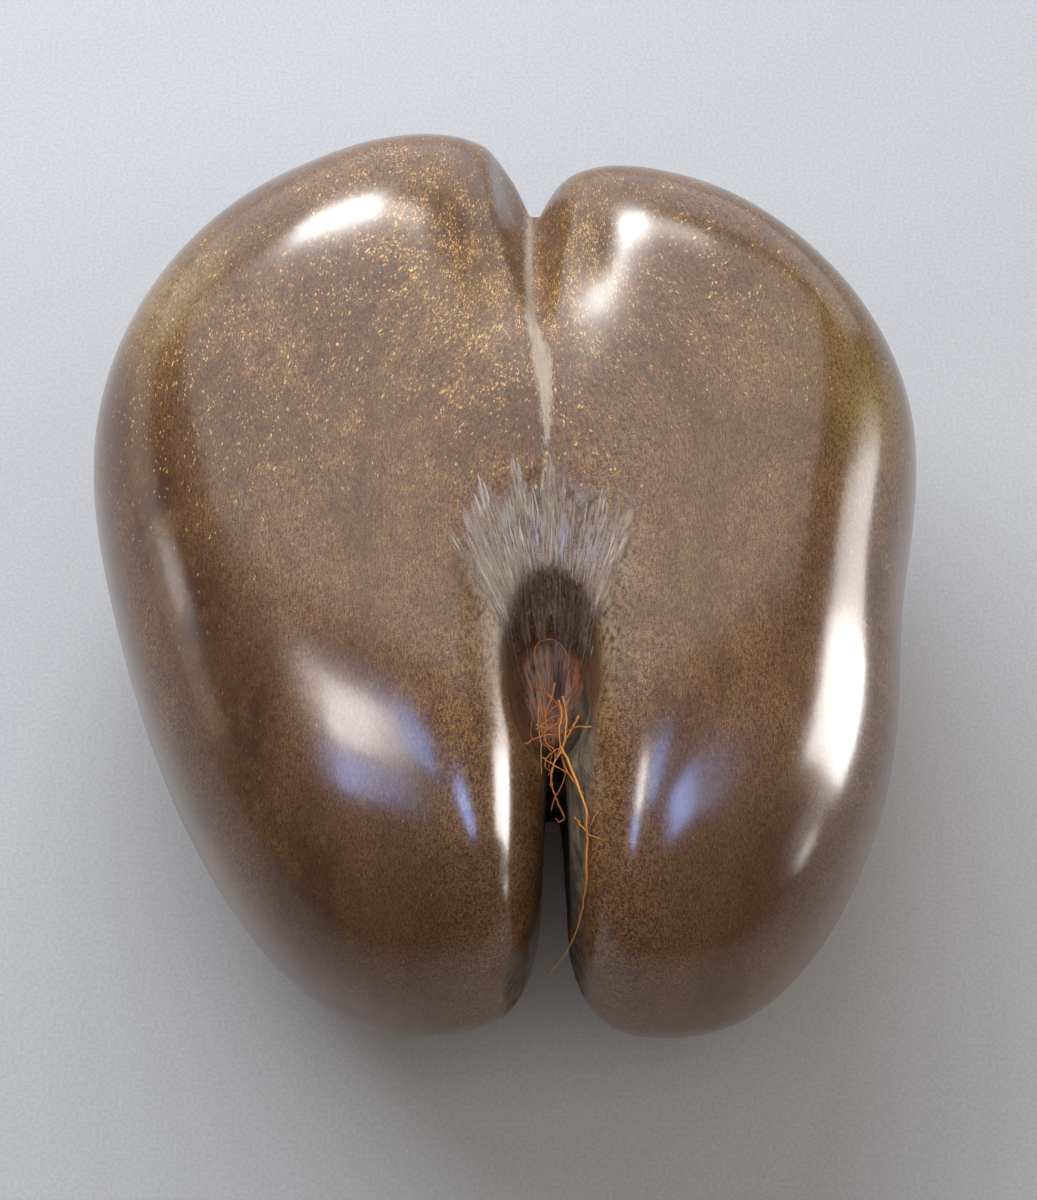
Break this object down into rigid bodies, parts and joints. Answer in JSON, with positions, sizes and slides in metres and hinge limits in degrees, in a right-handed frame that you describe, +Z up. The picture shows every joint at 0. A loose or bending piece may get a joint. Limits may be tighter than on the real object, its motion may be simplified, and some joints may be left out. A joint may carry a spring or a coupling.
{
  "type": "coco de mer seed",
  "caption": "Polished double-lobed palm seed with a deep cleft between the lobes, a notch at one end, a torn fibrous scar and a tuft of husk fibres.",
  "frame": {"origin": "on the surface that the seed lies on, under the middle of its outline", "axes": "+X across the two lobes to the slimmer one, +Y along the seed to its notched end, +Z up through the face with the scar"},
  "size_m": [0.255, 0.2836, 0.1526],
  "materials": {
    "polished_shell": "polished dark brown shell",
    "husk_fibre": "dry orange-brown husk fibre"
  },
  "bodies": {
    "root": {"nut": "polished_shell", "husk_fibres": "husk_fibre"}
  },
  "joints": []
}
